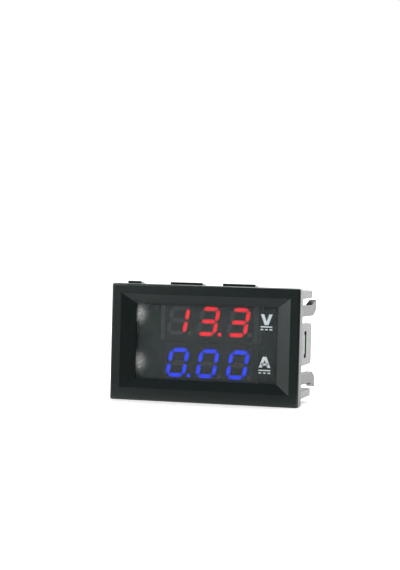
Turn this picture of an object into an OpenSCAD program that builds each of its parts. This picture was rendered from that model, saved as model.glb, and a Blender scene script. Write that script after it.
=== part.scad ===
// Snap-in digital panel meter with two three-digit displays.
// The origin is the centre of the panel cutout, in the plane where the bezel meets the panel.
// X runs to the right seen from the front, Y runs to the back, Z is up. Millimetres.

/* [Bezel] */
// Width of the bezel
bezel_w = 48; // [46.8:0.1:54]
// Height of the bezel
bezel_h = 29; // [28:0.1:34]
// Thickness of the bezel, from its front face to the panel
bezel_t = 3.3; // [2.9:0.1:4.5]
// Radius of the bezel's four outline corners
bezel_corner_r = 0.6; // [0.4:0.1:1.5]
// Radius along the bezel's front edge
bezel_edge_r = 0.5; // [0.15:0.05:0.8]
// How far the bezel's centre lies below the cutout's centre
bezel_drop = 0.3; // [0:0.05:0.5]

/* [Window] */
// Width of the clear window
window_w = 36.2; // [33:0.1:37]
// Height of the clear window
window_h = 18.8; // [17:0.1:19.4]
// Width of the bevel at the window's left and right
bevel_side = 3.3; // [1:0.1:4]
// Width of the bevel at the window's top and bottom
bevel_top = 2.35; // [1:0.1:3]
// How deep the bevel runs in from the front face
bevel_depth = 1.9; // [1:0.1:2.1]
// Upright edge between the bevel and the lens
lip_t = 0.7; // [0.4:0.1:1.2]

/* [Lens] */
// Thickness of the smoked lens
lens_t = 1.2; // [0.8:0.1:2]
// How far the lens laps behind the lip
lens_lap = 1.45; // [0.6:0.05:1.5]
// Clearance round the lens in its seat
lens_gap = 0.1; // [0.05:0.05:0.2]

/* [Sleeve] */
// Width of the sleeve that passes through the panel
sleeve_w = 45.8; // [44.8:0.1:46.2]
// Height of the sleeve that passes through the panel
sleeve_h = 26.7; // [26.4:0.1:27.4]
// Length of the sleeve behind the panel seat
sleeve_depth = 16.7; // [16:0.1:22]
// Thickness of the top and bottom walls
wall_t = 1.9; // [1.5:0.1:2]
// Thickness of the side walls and latch plates
side_t = 1.3; // [1:0.1:1.5]
// Length of the closed collar behind the bezel
collar_depth = 2.5; // [1:0.1:2.6]

/* [Snap tongues] */
// Width of a snap tongue
tongue_w = 8.3; // [5:0.1:10]
// Distance between the two tongues on a wall, centre to centre
tongue_pitch = 13.6; // [12:0.1:18]
// Distance from the panel seat to the tongue's catch face
tongue_catch = 3.9; // [3.8:0.1:5]
// Length of a tongue from its catch face to its root
tongue_length = 7.5; // [5:0.1:9]
// Flat length of a tongue's crest
tongue_crest = 0.5; // [0.3:0.1:0.8]
// How far a tongue's crest stands above the wall
tongue_rise = 1.35; // [0.6:0.05:1.8]
// Width of the slots that free a tongue
tongue_slot = 0.6; // [0.4:0.1:1]
// Gap in the wall ahead of a tongue
tongue_front_gap = 1.2; // [0.6:0.1:1.2]
// Width of the narrow tongue at the top left corner
corner_tongue_w = 3.5; // [2:0.1:4.5]
// Distance from the sleeve's left end to the narrow tongue
corner_tongue_inset = 0.75; // [0.4:0.05:1]

/* [Side arms] */
// Height of a side arm
arm_h = 2.7; // [1.6:0.1:2.9]
// Distance of an arm's centre line from the meter's centre line
arm_z = 8.4; // [8.2:0.05:8.6]
// How far an arm's tip stands proud of the sleeve
arm_flare = 1; // [0.4:0.05:1.1]
// Thickness of an arm at its tip
arm_t = 1.8; // [1.2:0.1:2]
// How far the arm reaches past the sleeve's end
arm_reach = 0.3; // [0:0.1:1]
// Length of the barb's ramp
barb_length = 4.3; // [2:0.1:6]
// How far the barb's tip stands above the arm
barb_rise = 1.3; // [0.5:0.1:1.5]
// Height of the chamfer on the arm's end, on the side away from the barb
arm_chamfer = 1.3; // [0.5:0.1:1.8]

/* [Latch plates] */
// Height of a latch plate
plate_h = 10.3; // [9:0.1:10.8]
// Size of the cut on a latch plate's two rear corners
plate_cut = 0.9; // [0.3:0.1:1.2]
// Height of the window in a latch plate
latch_h = 6.6; // [6:0.1:7.6]
// Clearance between the window and the front of the board's lug
latch_gap = 0.1; // [0.1:0.05:0.3]
// Room for the lug to travel behind the board
latch_play = 0.5; // [0.2:0.1:1]

/* [Board] */
// Thickness of the board
board_t = 1.6; // [1:0.1:2]
// Clearance between the board and the walls
board_gap = 0.2; // [0.1:0.05:0.3]
// Width of the lug on each short edge of the board
lug_w = 4.7; // [3:0.1:5]
// Width of a rib that the board rests on
rib_w = 1.4; // [1:0.1:2.5]
// How far a rib stands in from the wall
rib_h = 0.8; // [0.6:0.05:0.85]
// Distance between the ribs on a wall, centre to centre
rib_pitch = 30; // [26:0.5:32]

/* [Displays] */
// Width of a display's face
display_w = 22.7; // [22:0.1:24]
// Height of a display
display_h = 10.1; // [9.8:0.1:10.2]
// Depth of a display's case
display_depth = 6.3; // [5:0.1:7]
// Gap between the lens and the displays' faces
display_gap = 0.7; // [0.2:0.1:1.2]
// Gap between the two displays
display_split = 0.4; // [0.1:0.1:0.5]
// Height of the feet that hold a case off the board
foot_h = 0.6; // [0.4:0.1:1]
// Width of the ledge on each side of the red display
ledge_w = 1.15; // [0.6:0.05:1.4]
// How far the ledge lies behind the face
ledge_step = 0.3; // [0.1:0.1:1]
// Height of a digit
digit_h = 7.3; // [6:0.1:8]
// Width of a digit
digit_w = 5.15; // [4:0.05:5.4]
// Distance between digits
digit_pitch = 7.75; // [7.4:0.05:7.9]
// How far the row of digits is shifted to the right
digit_shift = -0.1; // [-0.3:0.05:0.3]
// Slant of the digits in degrees
digit_slant = 10; // [0:1:12]
// Width of a segment
segment_w = 1.05; // [0.6:0.05:1.2]
// Gap between neighbouring segments
segment_split = 0.28; // [0.1:0.02:0.4]
// Depth of the segments in the case
segment_t = 0.6; // [0.3:0.1:1]
// Clearance round a segment in its pocket
segment_gap = 0.02; // [0.01:0.01:0.03]
// Gap between a digit and its decimal point
point_gap = 0.4; // [0.2:0.05:0.6]
// Radius of a decimal point
point_r = 0.5; // [0.3:0.05:0.6]
// Radius of a display pin
pin_r = 0.25; // [0.2:0.05:0.3]
// Distance between the pins in a row
pin_pitch = 2.54; // [2:0.02:2.8]
// Distance between a display's two rows of pins
pin_row = 7.62; // [7:0.02:8]
// How far pins stand out behind the board
pin_tail = 0.9; // [0.8:0.1:1.5]
// Radial clearance of a pin's hole in the board
pin_gap = 0.15; // [0.1:0.05:0.2]

/* [Headers] */
// Height of the supply header above the board
supply_height = 6; // [5:0.1:7]
// Distance between the supply header's pins
supply_pitch = 2; // [1.5:0.1:2.2]
// Size of the supply header across its pins
supply_across = 4.5; // [3.8:0.1:5]
// Distance from a pin to the supply header's end
supply_end = 1.95; // [1.5:0.05:2.2]
// Height of the measuring header above the board
measure_height = 7; // [6:0.1:8]
// Distance between the measuring header's pins
measure_pitch = 2.54; // [2.2:0.02:2.8]
// Size of the measuring header across its pins
measure_across = 5.75; // [5:0.05:5.8]
// Distance from a pin to the measuring header's end
measure_end = 2.45; // [2:0.05:2.6]
// Distance from a header's centre to the board's end
header_inset = 4.6; // [4.4:0.1:4.8]
// Distance from the headers' centres to the board's top edge
header_drop = 3.55; // [3.4:0.05:3.8]

/* [Shunt] */
// Thickness of the shunt wire
shunt_d = 1.6; // [1:0.1:2]
// Distance between the shunt's legs
shunt_span = 10.4; // [8:0.1:11]
// Height of the shunt above the board
shunt_height = 5.2; // [4:0.1:6]
// Bend radius of the shunt along its centre line
shunt_bend = 2; // [1.4:0.1:2.5]

/* [Trimmers] */
// Side of a trimmer's square body
trimmer_w = 3.6; // [3.2:0.1:4]
// Height of a trimmer's body
trimmer_h = 1.5; // [1.2:0.1:2]
// Radius of a rotor's head
rotor_r = 1.3; // [0.9:0.05:1.4]
// Radius of a rotor's spindle
spindle_r = 0.6; // [0.4:0.05:0.7]
// Radial running clearance of a rotor
rotor_gap = 0.05; // [0.02:0.01:0.08]
// Distance between the two trimmers
trimmer_pitch = 6.8; // [5.5:0.1:8]

/* [Hidden] */
$fn = 48;

// Planes from front to back
front_y = -bezel_t;
lip_y = front_y + bevel_depth;
lens_y = lip_y + lip_t;
cavity_y = lens_y + lens_t + lens_gap;
face_y = lens_y + lens_t + display_gap;
case_rear_y = face_y + display_depth;
board_y = case_rear_y + foot_h;
back_y = board_y + board_t;
arm_end_y = sleeve_depth + arm_reach;

// Widths and heights that follow from the sleeve
cavity_w = sleeve_w - 2 * side_t;
cavity_h = sleeve_h - 2 * wall_t;
board_w = cavity_w - 2 * board_gap;
board_h = cavity_h - 2 * board_gap;
row_z = (display_h + display_split) / 2;
header_x = board_w / 2 - header_inset;
header_z = board_h / 2 - header_drop;
tongue_x = tongue_pitch / 2 - tongue_w / 2;
corner_x = -sleeve_w / 2 + corner_tongue_inset;
eps = 0.01;

// Places of the parts on the back of the board, as [x, z]
volts_at = [-trimmer_pitch / 2, -row_z];
amps_at = [trimmer_pitch / 2, -row_z];
supply_at = [-header_x, header_z];
measure_at = [header_x, header_z];
shunt_at = [board_w / 2 - 4.2, -4];
micro_at = [5.1 - board_w / 2, -4.6];
amplifier_at = [-9.9, -4.6];
regulator_at = [-10, 3.2];
diode_at = [10.2, 3];
capacitor_spots = [[-10, 8.4], [10.2, 8.4], [10.2, -8.6]];
resistor_columns = [-5.2, -3.1, -1, 1.1, 3.2, 5.3];
resistor_rows = [row_z + 1.4, row_z - 1.4];
chip_capacitor_spots = [[10.2, -1.2], [10.2, -3], [10.2, -4.8], [-14.2, 1.6], [-16.6, 1.6], [-19, 1.6]];

// Standard packages: width, length and height of each moulded body
micro_w = 4.4;
micro_l = 6.5;
micro_t = 1;
amplifier_w = 3.9;
amplifier_l = 4.9;
amplifier_t = 1.4;
regulator_w = 4.5;
regulator_l = 2.5;
regulator_t = 1.5;
diode_w = 4.3;
diode_l = 2.6;
diode_t = 2;
capacitor_w = 3.5;
capacitor_l = 2.8;
capacitor_t = 1.9;
capacitor_lead_w = 2.2;
diode_lead_w = 1.4;
regulator_lead_w = 0.5;
regulator_tab_w = 1.8;
regulator_pitch = 1.5;
regulator_lead_t = 0.4;
resistor_w = 0.8;
resistor_l = 1.6;
resistor_t = 0.45;
ceramic_w = 0.8;
ceramic_l = 1.6;
ceramic_t = 0.8;

// Solder: radius of a cone on the board
pin_solder_r = 0.8;
header_solder_r = 0.95;
shunt_solder_r = 1.7;

// Header details
header_wall = 0.7;
header_floor = 1.2;
header_slot = 1;
header_pin_w = 0.64;
header_tail = 0.4;
header_pin_sunk = 1.4;

// Trimmer rotor: thickness of its head, and how much of it sits in the body
rotor_t = 0.7;
rotor_sunk = 0.45;

// Segments: 0 to 6 are a to g, 7 is the decimal point
all_segments = [0, 1, 2, 3, 4, 5, 6, 7];
red_lit = [[1, 2], [0, 1, 2, 3, 6, 7], [0, 1, 2, 3, 6]];
blue_lit = [[0, 1, 2, 3, 4, 5, 7], [0, 1, 2, 3, 4, 5], [0, 1, 2, 3, 4, 5]];

// Display pins in a row, and steps of one pitch on both sides of 0
pins_per_row = 6;
function steps(count) = [for (i = [0:count - 1]) i - (count - 1) / 2];

function others(lit) = [for (s = all_segments) if (len(search(s, lit)) == 0) s];
function dark(lit) = [for (digit = lit) others(digit)];
function slanted(p) = [p[0] + p[1] * tan(digit_slant), p[1]];

// A shape drawn in the X-Z plane, made solid from y0 to y1
module in_y(y0, y1) {
    translate([0, y1, 0]) rotate([90, 0, 0]) linear_extrude(y1 - y0) children();
}

// A shape drawn in the Y-Z plane, made solid from x0 to x1
module in_x(x0, x1) {
    translate([x0, 0, 0]) rotate([90, 0, 90]) linear_extrude(x1 - x0) children();
}

// A shape drawn in the X-Y plane, made solid from z0 to z1
module in_z(z0, z1) {
    translate([0, 0, z0]) linear_extrude(z1 - z0) children();
}

// A box centred on [x, z], from y0 to y1
module block(w, h, y0, y1, at = [0, 0]) {
    translate([at[0] - w / 2, y0, at[1] - h / 2]) cube([w, y1 - y0, h]);
}

// A round bar along Y, centred on [x, z]
module rod(r, y0, y1, at = [0, 0]) {
    translate([at[0], y0, at[1]]) rotate([-90, 0, 0]) cylinder(r = r, h = y1 - y0);
}

module both_sides() {
    children();
    mirror([1, 0, 0]) children();
}

module top_and_bottom() {
    children();
    mirror([0, 0, 1]) children();
}

// Housing

module rounded_rectangle(w, h, r) {
    square([w - 2 * r, h], center = true);
    square([w, h - 2 * r], center = true);
    for (x = [-1, 1], y = [-1, 1]) translate([x * (w / 2 - r), y * (h / 2 - r)]) circle(r);
}

// Section of the bezel plate across one of its spans, with its two front edges rounded
module plate_section(span) {
    r = bezel_edge_r;
    translate([-span / 2, front_y + r]) square([span, bezel_t - r]);
    translate([-span / 2 + r, front_y]) square([span - 2 * r, r]);
    for (s = [-1, 1]) translate([s * (span / 2 - r), front_y + r]) circle(r);
}

module bezel_plate() {
    translate([0, 0, -bezel_drop]) intersection() {
        in_y(front_y, 0) rounded_rectangle(bezel_w, bezel_h, bezel_corner_r);
        in_z(-bezel_h, bezel_h) plate_section(bezel_w);
        in_x(-bezel_w, bezel_w) mirror([1, -1, 0]) plate_section(bezel_h);
    }
}

// One span of the bevel: wide at the front face, the window's size where it ends
module bevel_section(span, bevel) {
    slope = bevel / bevel_depth;
    polygon([[-span / 2, lip_y], [-span / 2 - bevel - slope, front_y - 1],
        [span / 2 + bevel + slope, front_y - 1], [span / 2, lip_y]]);
}

module window_cut() {
    intersection() {
        in_z(-bezel_h, bezel_h) bevel_section(window_w, bevel_side);
        in_x(-bezel_w, bezel_w) mirror([1, -1, 0]) bevel_section(window_h, bevel_top);
    }
    block(window_w, window_h, lip_y - eps, lens_y + eps);
    block(window_w + 2 * (lens_lap + lens_gap), window_h + 2 * (lens_lap + lens_gap), lens_y, cavity_y + eps);
}

// Side view of a tongue: catch face, crest, and a ramp down to the root
module tongue_section() {
    base = sleeve_h / 2 - wall_t;
    top = sleeve_h / 2;
    polygon([[tongue_catch, base], [tongue_catch, top + tongue_rise],
        [tongue_catch + tongue_crest, top + tongue_rise], [tongue_catch + tongue_length, top],
        [tongue_catch + tongue_length + eps, top], [tongue_catch + tongue_length + eps, base]]);
}

// The cut that frees a tongue from x0 to x1, with a slot of its own width on the left
module tongue_cut(x0, x1, left_slot = tongue_slot) {
    z0 = sleeve_h / 2 - wall_t - eps;
    translate([x0 - left_slot, tongue_catch - tongue_front_gap, z0])
        cube([x1 - x0 + left_slot + tongue_slot, tongue_front_gap + tongue_length, wall_t + 2 * eps]);
}

// Side view of an arm: straight bar, barb on its outer edge, chamfer on the other
module arm_section() {
    z0 = arm_z - arm_h / 2;
    z1 = arm_z + arm_h / 2;
    polygon([[0, z0], [arm_end_y - arm_chamfer * 2, z0], [arm_end_y, z0 + arm_chamfer],
        [arm_end_y, z1 + barb_rise], [arm_end_y - barb_length, z1], [0, z1]]);
}

// Plan of an arm: flush with the sleeve where the panel sits, splayed outwards to its tip
module arm_plan() {
    x = sleeve_w / 2;
    polygon([[x - side_t, 0], [x, 0], [x, collar_depth], [x + arm_flare, arm_end_y],
        [x + arm_flare - arm_t, arm_end_y], [x - side_t, collar_depth]]);
}

module side_arm() {
    intersection() {
        in_z(0, sleeve_h / 2) arm_plan();
        in_x(0, bezel_w) arm_section();
    }
}

// Window in a latch plate, where the board's lug snaps in
module latch_window() {
    block(bezel_w, latch_h, board_y - latch_gap, back_y + latch_play, [bezel_w / 2, 0]);
}

// Plan of a latch plate, with a lead-in for the board at its inner rear edge
module plate_plan() {
    x0 = cavity_w / 2;
    x1 = sleeve_w / 2;
    polygon([[x0, 0], [x1, 0], [x1, sleeve_depth], [x0 + side_t * 0.6, sleeve_depth],
        [x0, sleeve_depth - side_t]]);
}

// Side view of a latch plate, with its two rear corners cut off
module plate_side() {
    h = plate_h / 2;
    polygon([[0, -h], [sleeve_depth - plate_cut, -h], [sleeve_depth, plate_cut - h],
        [sleeve_depth, h - plate_cut], [sleeve_depth - plate_cut, h], [0, h]]);
}

module side_plate() {
    difference() {
        intersection() {
            in_z(-plate_h, plate_h) plate_plan();
            in_x(0, bezel_w) plate_side();
        }
        latch_window();
    }
}

module board_rib(x) {
    translate([x - rib_w / 2, cavity_y, cavity_h / 2 - rib_h]) cube([rib_w, board_y - cavity_y, rib_h + wall_t / 2]);
}

module long_wall() {
    translate([-sleeve_w / 2, 0, cavity_h / 2]) cube([sleeve_w, sleeve_depth, wall_t]);
}

module housing() {
    color([0.09, 0.095, 0.1]) {
        difference() {
            union() {
                bezel_plate();
                block(sleeve_w, sleeve_h, -eps, collar_depth);
                top_and_bottom() long_wall();
            }
            window_cut();
            block(cavity_w, cavity_h, cavity_y, sleeve_depth + 1);
            top_and_bottom() both_sides() tongue_cut(tongue_x, tongue_x + tongue_w);
            tongue_cut(corner_x, corner_x + corner_tongue_w, corner_tongue_inset + eps);
        }
        top_and_bottom() both_sides() in_x(tongue_x, tongue_x + tongue_w) tongue_section();
        in_x(corner_x, corner_x + corner_tongue_w) tongue_section();
        both_sides() side_plate();
        both_sides() top_and_bottom() side_arm();
        both_sides() top_and_bottom() board_rib(rib_pitch / 2);
    }
}

// Lens and board

module window_lens() {
    color([0.1, 0.1, 0.1, 0.6])
        block(window_w + 2 * lens_lap, window_h + 2 * lens_lap, lens_y, lens_y + lens_t);
}

module display_pin_places() {
    for (z = [-row_z, row_z], row = [-1, 1], i = steps(pins_per_row))
        translate([i * pin_pitch, 0, z + row * pin_row / 2]) children();
}

module main_board() {
    color([0.05, 0.25, 0.12]) difference() {
        union() {
            block(board_w, board_h, board_y, back_y);
            block(sleeve_w - 2 * board_gap, lug_w, board_y, back_y);
        }
        display_pin_places() rod(pin_r + pin_gap, board_y - 1, back_y + 1);
        for (p = header_pin_places()) rod(header_pin_w, board_y - 1, back_y + 1, p);
        for (p = shunt_feet()) rod(shunt_d / 2 + pin_gap, board_y - 1, back_y + 1, p);
    }
}

// Displays

function half_w() = (digit_w - segment_w) / 2;
function half_h() = (digit_h - segment_w) / 2;

// Pointed bar between two points, level or upright; s is half its width
function level_bar(x0, x1, z, s, g) = [[x0 + g, z], [x0 + g + s, z + s], [x1 - g - s, z + s],
    [x1 - g, z], [x1 - g - s, z - s], [x0 + g + s, z - s]];
function upright_bar(x, z0, z1, s, g) = [[x, z0 + g], [x + s, z0 + g + s], [x + s, z1 - g - s],
    [x, z1 - g], [x - s, z1 - g - s], [x - s, z0 + g + s]];

function segment_outline(i, grow) =
    let (w = half_w(), h = half_h(), s = segment_w / 2 + grow, g = segment_split / 2 - grow)
    i == 0 ? level_bar(-w, w, h, s, g) :
    i == 1 ? upright_bar(w, 0, h, s, g) :
    i == 2 ? upright_bar(w, -h, 0, s, g) :
    i == 3 ? level_bar(-w, w, -h, s, g) :
    i == 4 ? upright_bar(-w, -h, 0, s, g) :
    i == 5 ? upright_bar(-w, 0, h, s, g) :
    level_bar(-w, w, 0, s, g);

module segment(i, grow) {
    if (i == 7)
        translate(slanted([digit_w / 2 + point_r + point_gap, -digit_h / 2 + point_r])) circle(point_r + grow);
    else
        polygon([for (p = segment_outline(i, grow)) slanted(p)]);
}

// The chosen segments of three digits, as a flat drawing
module segments(chosen, grow = 0) {
    for (d = [0:2], i = chosen[d])
        translate([(d - 1) * digit_pitch + digit_shift, 0]) segment(i, grow);
}

module display_segments(chosen, z) {
    translate([0, 0, z]) in_y(face_y, face_y + segment_t) segments(chosen);
}

module display_case(z, ledge) {
    foot = 1.6;
    translate([0, 0, z]) {
        difference() {
            block(display_w, display_h, face_y, case_rear_y);
            in_y(face_y - 1, face_y + segment_t) segments([all_segments, all_segments, all_segments], segment_gap);
        }
        if (ledge > 0) both_sides()
            translate([display_w / 2 - eps, face_y + ledge_step, -display_h / 2])
                cube([ledge + eps, display_depth - ledge_step - foot_h, display_h]);
        for (x = [-1, 1], y = [-1, 1])
            block(foot, foot, case_rear_y - eps, board_y,
                [x * (display_w - foot) / 2, y * (display_h - foot) / 2]);
    }
}

module display_pins(z) {
    for (row = [-1, 1], i = steps(pins_per_row))
        rod(pin_r, case_rear_y, back_y + pin_tail, [i * pin_pitch, z + row * pin_row / 2]);
}

// A cone of solder round a pin; y is the board's face and dir the way it stands
module solder_cone(r, pin, h, at, y = back_y) {
    difference() {
        translate([at[0], y, at[1]]) rotate([-90, 0, 0]) cylinder(r1 = r, r2 = pin + 0.1, h = h);
        rod(pin, y - 1, y + h + 1, at);
    }
}

module red_display_case() { color([0.17, 0.15, 0.15]) display_case(row_z, ledge_w); }
module blue_display_case() { color([0.17, 0.15, 0.15]) display_case(-row_z, 0); }
module red_segments_lit() { color([1, 0.1, 0.15]) display_segments(red_lit, row_z); }
module red_segments_dark() { color([0.3, 0.28, 0.28]) display_segments(dark(red_lit), row_z); }
module blue_segments_lit() { color([0.12, 0.2, 1]) display_segments(blue_lit, -row_z); }
module blue_segments_dark() { color([0.3, 0.28, 0.28]) display_segments(dark(blue_lit), -row_z); }
module red_display_pins() { color([0.75, 0.75, 0.72]) display_pins(row_z); }
module blue_display_pins() { color([0.75, 0.75, 0.72]) display_pins(-row_z); }

module display_solder() {
    color([0.7, 0.7, 0.7])
        for (z = [-row_z, row_z], row = [-1, 1], i = steps(pins_per_row))
            solder_cone(pin_solder_r, pin_r, pin_tail - 0.2, [i * pin_pitch, z + row * pin_row / 2]);
}

// Chips with gull-wing leads

// Body of a moulded chip, standing on the board by its leads
module chip_body(w, h, t, at, lift = 0.12) {
    draft = 0.25;
    translate([at[0], back_y + lift, at[1]]) intersection() {
        in_z(-h / 2, h / 2) chip_section(w, t, draft);
        in_x(-w / 2, w / 2) mirror([1, -1, 0]) chip_section(h, t, draft);
    }
}

// Moulded outline with its parting line at half height
module chip_section(w, t, draft) {
    polygon([[-w / 2 + draft, 0], [-w / 2, t * 0.45], [-w / 2, t * 0.55], [-w / 2 + draft, t],
        [w / 2 - draft, t], [w / 2, t * 0.55], [w / 2, t * 0.45], [w / 2 - draft, 0]]);
}

// One gull-wing lead seen along the body: it leaves at half height and ends flat on the board
module lead_section(reach, rise, t) {
    shoulder = reach * 0.35;
    foot = reach * 0.45;
    polygon([[0, rise], [shoulder, rise], [reach - foot, t], [reach, t], [reach, 0],
        [reach - foot - t * 0.6, 0], [shoulder - t * 0.6, rise - t], [0, rise - t]]);
}

// Two rows of leads on the sides at +-w/2; they point along X, spaced along Z
module lead_rows(w, count, pitch, lead_w, reach, rise, at) {
    t = 0.15;
    translate([at[0], back_y, at[1]])
        both_sides() for (i = steps(count))
            translate([w / 2, 0, i * pitch])
                in_z(-lead_w / 2, lead_w / 2) lead_section(reach, rise, t);
}

module microcontroller_body() { color([0.08, 0.08, 0.09]) chip_body(micro_w, micro_l, micro_t, micro_at); }
module microcontroller_leads() {
    color([0.75, 0.75, 0.75]) lead_rows(micro_w, 10, 0.65, 0.25, 1, 0.12 + micro_t * 0.5 + 0.07, micro_at);
}

// The amplifier's leads point up and down, so it is turned a quarter turn about Y
module quarter_turn(at) {
    translate([at[0], 0, at[1]]) rotate([0, 90, 0]) children();
}

module amplifier_body() {
    color([0.08, 0.08, 0.09]) chip_body(amplifier_l, amplifier_w, amplifier_t, amplifier_at);
}
module amplifier_leads() {
    color([0.75, 0.75, 0.75]) quarter_turn(amplifier_at)
        lead_rows(amplifier_w, 4, 1.27, 0.42, 1.05, 0.12 + amplifier_t * 0.5 + 0.07, [0, 0]);
}

// Regulator: three leads below, a wide heat tab above
module regulator_body() { color([0.08, 0.08, 0.09]) chip_body(regulator_w, regulator_l, regulator_t, regulator_at, 0); }
module regulator_leads() {
    x = regulator_at[0];
    z0 = regulator_at[1] - regulator_l / 2 - 0.3;
    z1 = regulator_at[1] + regulator_l / 2 + 0.25;
    top = back_y + regulator_lead_t;
    color([0.75, 0.75, 0.75]) difference() {
        union() {
            for (i = steps(3)) block(regulator_lead_w, 1, back_y, top, [x + i * regulator_pitch, z0]);
            block(regulator_tab_w, 0.9, back_y, top, [x, z1]);
        }
        chip_body(regulator_w, regulator_l, regulator_t, regulator_at, 0);
    }
}

// Two-ended parts: a moulded body with a flat lead that wraps each end
module wrapped_lead(w, lead_w, t, at) {
    thick = 0.15;
    for (s = [-1, 1]) {
        block(thick, lead_w, back_y, back_y + t * 0.5, [at[0] + s * (w / 2 + thick / 2), at[1]]);
        block(0.9, lead_w, back_y, back_y + thick, [at[0] + s * (w / 2 - 0.45), at[1]]);
    }
}

module diode_body() { color([0.08, 0.08, 0.09]) chip_body(diode_w, diode_l, diode_t, diode_at, 0.15); }
module diode_leads() { color([0.75, 0.75, 0.75]) wrapped_lead(diode_w, diode_lead_w, diode_t, diode_at); }
module capacitor_bodies() {
    color([0.85, 0.6, 0.15]) for (p = capacitor_spots)
        chip_body(capacitor_w, capacitor_l, capacitor_t, p, 0.15);
}
module capacitor_leads() {
    color([0.75, 0.75, 0.75]) for (p = capacitor_spots)
        wrapped_lead(capacitor_w, capacitor_lead_w, capacitor_t, p);
}

module chip_resistors() {
    color([0.1, 0.1, 0.1]) for (x = resistor_columns, z = resistor_rows)
        block(resistor_w, resistor_l, back_y, back_y + resistor_t, [x, z]);
}

module chip_capacitors() {
    color([0.65, 0.5, 0.35]) for (p = chip_capacitor_spots)
        block(ceramic_l, ceramic_w, back_y, back_y + ceramic_t, p);
}

// Headers

function header_pins(at, pitch) = [for (s = [-1, 1]) [at[0] + s * pitch / 2, at[1]]];
function header_pin_places() = concat(header_pins(supply_at, supply_pitch), header_pins(measure_at, measure_pitch));

// Open box with two narrow slots in its lower wall, in line with the pins
module header_body(at, pitch, end, across, height) {
    w = pitch + 2 * end;
    inside = back_y + header_floor;
    top = back_y + height;
    difference() {
        block(w, across, back_y, top, at);
        block(w - 2 * header_wall, across - 2 * header_wall, inside, top + 1, at);
        for (p = header_pins(at, pitch)) {
            block(header_slot, 2 * header_wall, inside, top + 1, [p[0], at[1] - across / 2]);
            block(header_pin_w, header_pin_w, back_y - 1, inside + 1, p);
        }
    }
}

// Square pins, from below the board to inside the header
module header_pin_set(at, pitch, height) {
    for (p = header_pins(at, pitch))
        block(header_pin_w, header_pin_w, board_y - header_tail, back_y + height - header_pin_sunk, p);
}

module supply_header() {
    color("ivory") header_body(supply_at, supply_pitch, supply_end, supply_across, supply_height);
}
module measuring_header() {
    color("ivory") header_body(measure_at, measure_pitch, measure_end, measure_across, measure_height);
}
module supply_header_pins() { color([0.8, 0.8, 0.75]) header_pin_set(supply_at, supply_pitch, supply_height); }
module measuring_header_pins() {
    color([0.8, 0.8, 0.75]) header_pin_set(measure_at, measure_pitch, measure_height);
}

module header_solder() {
    color([0.7, 0.7, 0.7]) for (p = header_pin_places()) difference() {
        translate([p[0], board_y, p[1]]) rotate([90, 0, 0]) cylinder(r1 = header_solder_r, r2 = 0.6, h = header_tail);
        block(header_pin_w, header_pin_w, board_y - 1, board_y + 1, p);
    }
}

// Shunt: a thick wire bent as a U that stands on the board

function shunt_feet() = [for (s = [-1, 1]) [shunt_at[0], shunt_at[1] + s * shunt_span / 2]];

module shunt_wire() {
    r = shunt_d / 2;
    bend_y = back_y + shunt_height - r - shunt_bend;
    straight = shunt_span - 2 * shunt_bend;
    color([0.72, 0.6, 0.45]) translate([shunt_at[0], bend_y, shunt_at[1]]) {
        for (s = [-1, 1]) translate([0, 0, s * straight / 2]) {
            rod(r, board_y - bend_y, 0, [0, s * shunt_bend]);
            rotate([0, -90 * s, 0]) quarter_ring(shunt_bend, r);
        }
        translate([0, shunt_bend, -straight / 2]) cylinder(r = r, h = straight);
    }
}

// A quarter of a ring in the X-Y plane, from +X to +Y
module quarter_ring(ring_r, r) {
    rotate_extrude(angle = 90) translate([ring_r, 0]) circle(r);
}

module shunt_solder() {
    color([0.7, 0.7, 0.7]) for (p = shunt_feet()) solder_cone(shunt_solder_r, shunt_d / 2, 0.8, p);
}

// Trimmers

module trimmer_body(at) {
    difference() {
        block(trimmer_w, trimmer_w, back_y, back_y + trimmer_h, at);
        rod(rotor_r + rotor_gap, back_y + trimmer_h - rotor_sunk, back_y + trimmer_h + 1, at);
        rod(spindle_r + rotor_gap, back_y + 0.2, back_y + trimmer_h + 1, at);
    }
}

// Head with a cross slot, on a spindle that turns in the body
module trimmer_rotor(at) {
    seat = back_y + trimmer_h - rotor_sunk + 0.02;
    top = seat + rotor_t;
    slot_w = 0.4;
    slot_t = 0.35;
    difference() {
        union() {
            rod(rotor_r, seat, top, at);
            rod(spindle_r, back_y + 0.25, top, at);
        }
        block(2 * rotor_r - 0.5, slot_w, top - slot_t, top + 1, at);
        block(slot_w, 2 * rotor_r - 0.5, top - slot_t, top + 1, at);
    }
}

module volts_trimmer_body() { color([0.15, 0.35, 0.65]) trimmer_body(volts_at); }
module amps_trimmer_body() { color([0.15, 0.35, 0.65]) trimmer_body(amps_at); }
module volts_trimmer_rotor() { color([0.8, 0.7, 0.4]) trimmer_rotor(volts_at); }
module amps_trimmer_rotor() { color([0.8, 0.7, 0.4]) trimmer_rotor(amps_at); }

housing();
window_lens();
main_board();
red_display_case();
red_segments_lit();
red_segments_dark();
red_display_pins();
blue_display_case();
blue_segments_lit();
blue_segments_dark();
blue_display_pins();
display_solder();
microcontroller_body();
microcontroller_leads();
amplifier_body();
amplifier_leads();
regulator_body();
regulator_leads();
diode_body();
diode_leads();
capacitor_bodies();
capacitor_leads();
chip_resistors();
chip_capacitors();
shunt_wire();
shunt_solder();
supply_header();
supply_header_pins();
measuring_header();
measuring_header_pins();
header_solder();
volts_trimmer_body();
volts_trimmer_rotor();
amps_trimmer_body();
amps_trimmer_rotor();
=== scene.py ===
"""Digital panel meter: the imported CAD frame, dressed for rendering.

Everything is in metres in the part's own frame: +X right, +Y back, +Z up, and the origin is at the centre
of the panel cutout. A box is a pair of corners, lo and hi. A place on the board is (x, z).
"""
import math

import bmesh
import bpy
from mathutils import Matrix, Vector

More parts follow.
